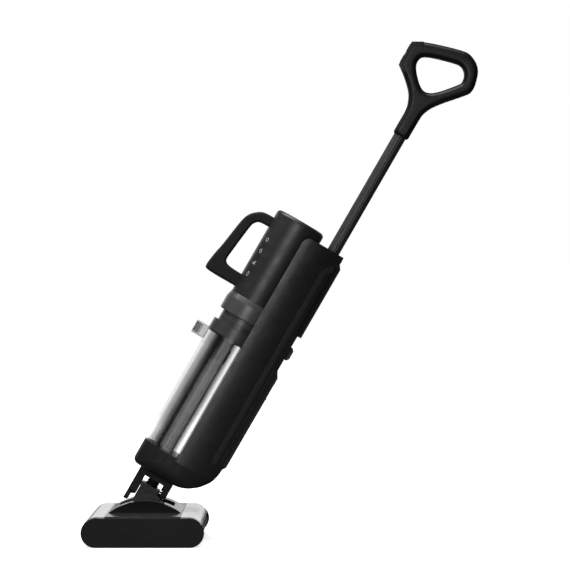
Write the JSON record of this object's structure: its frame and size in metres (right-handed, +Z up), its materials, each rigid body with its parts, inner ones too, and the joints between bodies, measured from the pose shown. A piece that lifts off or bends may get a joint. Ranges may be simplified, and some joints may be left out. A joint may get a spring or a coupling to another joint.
{
  "type": "wet dry floor scrubber",
  "caption": "Cordless upright wet and dry floor washer with a low dual-roller head, tilting and swivelling neck, clear dirty-water tank, hand unit with carry loop, slim pole and loop handle.",
  "frame": {"origin": "on the floor under the middle of the floor head", "axes": "+Z up, +X to the rear, where the pole and the handle lean, and +Y to the machine's right side; the body leans back 30 degrees"},
  "size_m": [0.7305, 0.27, 0.9296],
  "materials": {
    "black_plastic": "satin moulded",
    "cover_silver": "gloss",
    "deck_grey": "gloss",
    "frame_black": "satin",
    "housing_grey": "satin",
    "lid_grey": "satin",
    "clear_tank": "clear moulded",
    "smoke_window": "polished",
    "mark_grey": "printed",
    "pile_grey": "microfibre",
    "core_plastic": "matte",
    "motor_steel": "brushed",
    "plate_steel": "zinc plated",
    "pin_steel": "ground",
    "seal_rubber": "matte",
    "pipe_grey": "moulded",
    "pole_alu": "dark anodised",
    "white_plastic": "matte",
    "filter_paper": "pleated",
    "cell_blue": "sleeved",
    "board_green": "lacquered"
  },
  "bodies": {
    "head": {"chassis_base": "black_plastic", "base_plate": "plate_steel", "end_cap_left": "black_plastic", "end_cap_right": "black_plastic", "front_roller_cover": "cover_silver", "rear_roller_cover": "cover_silver", "centre_deck": "deck_grey", "vault_cheeks": "black_plastic", "pivot_blocks": "black_plastic", "suction_duct": "black_plastic", "spray_bars": "pin_steel", "squeegee_blades": "seal_rubber", "head_screws": "pin_steel", "front_drive_motor": "motor_steel", "rear_drive_motor": "motor_steel"},
    "front_roller": {"front_roller_core": "core_plastic", "front_roller_pile": "pile_grey", "front_roller_shaft": "pin_steel"},
    "rear_roller": {"rear_roller_core": "core_plastic", "rear_roller_pile": "pile_grey", "rear_roller_shaft": "pin_steel"},
    "neck": {"neck_knuckle": "black_plastic", "tilt_pins": "pin_steel"},
    "frame": {"yoke": "frame_black", "swivel_pins": "pin_steel", "neck_bellows": "seal_rubber", "bowl": "frame_black", "rear_shell": "frame_black", "cradle_panel": "black_plastic", "rear_cover": "black_plastic", "pole_socket": "black_plastic", "water_pump": "core_plastic", "frame_board": "board_green", "seat_gasket": "seal_rubber"},
    "clean_tank": {"clean_tank": "frame_black"},
    "fill_flap": {"fill_flap": "seal_rubber"},
    "clean_latch": {"clean_tank_latch": "black_plastic"},
    "vacuum_unit": {"motor_housing": "housing_grey", "top_cover": "housing_grey", "display_window": "smoke_window", "carry_loop": "black_plastic", "suction_motor": "core_plastic", "battery_cells": "cell_blue", "control_board": "board_green", "filter_collar": "lid_grey", "pleated_filter": "filter_paper", "status_marks": "housing_grey"},
    "impeller": {"impeller": "core_plastic"},
    "dirty_tank": {"tank_jar": "clear_tank", "standpipe": "pipe_grey", "tank_lid": "lid_grey", "latch_housing": "clear_tank"},
    "float": {"float": "white_plastic"},
    "tank_latch": {"tank_latch": "lid_grey"},
    "pole": {"pole": "pole_alu", "handle_left": "black_plastic", "handle_right": "black_plastic"},
    "pole_button": {"pole_button": "black_plastic"},
    "power_button": {"power_button": "lid_grey"},
    "mode_button": {"mode_button": "lid_grey"}
  },
  "joints": [
    {"name": "neck_tilt", "type": "hinge", "parent": "head", "child": "neck", "pos_m": [0, 0, 0.062], "axis": [0, 1, 0], "range_deg": [-30, 15]},
    {"name": "neck_swivel", "type": "hinge", "parent": "neck", "child": "frame", "pos_m": [0.0165, 0, 0.09058], "axis": [0.866, 0, -0.5], "range_deg": [-25, 25], "deforming": ["neck_bellows"]},
    {"name": "front_roller_spin", "type": "hinge", "parent": "head", "child": "front_roller", "pos_m": [-0.0853, 0, 0.0244], "axis": [0, 1, 0], "continuous": true},
    {"name": "rear_roller_spin", "type": "hinge", "parent": "head", "child": "rear_roller", "pos_m": [0.0853, 0, 0.0244], "axis": [0, 1, 0], "continuous": true},
    {"name": "unit_release", "type": "slide", "parent": "frame", "child": "vacuum_unit", "axis": [-0.866, 0, 0.5], "range_m": [0, 0.15]},
    {"name": "dirty_tank_release", "type": "slide", "parent": "vacuum_unit", "child": "dirty_tank", "axis": [-0.866, 0, 0.5], "range_m": [0, 0.12]},
    {"name": "tank_latch_press", "type": "slide", "parent": "dirty_tank", "child": "tank_latch", "axis": [0.866, 0, -0.5], "range_m": [0, 0.003], "stiffness_N_per_m": 600},
    {"name": "float_rise", "type": "slide", "parent": "dirty_tank", "child": "float", "axis": [0.5, 0, 0.866], "range_m": [0, 0.03]},
    {"name": "impeller_spin", "type": "hinge", "parent": "vacuum_unit", "child": "impeller", "pos_m": [0.20701, 0, 0.45055], "axis": [0.5, 0, 0.866], "continuous": true},
    {"name": "clean_tank_release", "type": "slide", "parent": "frame", "child": "clean_tank", "axis": [0.866, 0, -0.5], "range_m": [0, 0.08]},
    {"name": "fill_flap_hinge", "type": "hinge", "parent": "clean_tank", "child": "fill_flap", "pos_m": [0.22226, 0, 0.26196], "axis": [0, 1, 0], "range_deg": [0, 100]},
    {"name": "clean_tank_latch_lift", "type": "slide", "parent": "frame", "child": "clean_latch", "axis": [0.5, 0, 0.866], "range_m": [0, 0.006], "stiffness_N_per_m": 400},
    {"name": "pole_release", "type": "slide", "parent": "frame", "child": "pole", "axis": [0.5, 0, 0.866], "range_m": [0, 0.1]},
    {"name": "pole_button_press", "type": "slide", "parent": "frame", "child": "pole_button", "axis": [-0.866, 0, 0.5], "range_m": [0, 0.0025], "stiffness_N_per_m": 600},
    {"name": "power_button_press", "type": "slide", "parent": "pole", "child": "power_button", "axis": [0.866, 0, -0.5], "range_m": [0, 0.0015], "stiffness_N_per_m": 600},
    {"name": "mode_button_press", "type": "slide", "parent": "pole", "child": "mode_button", "axis": [0.866, 0, -0.5], "range_m": [0, 0.0015], "stiffness_N_per_m": 600}
  ]
}
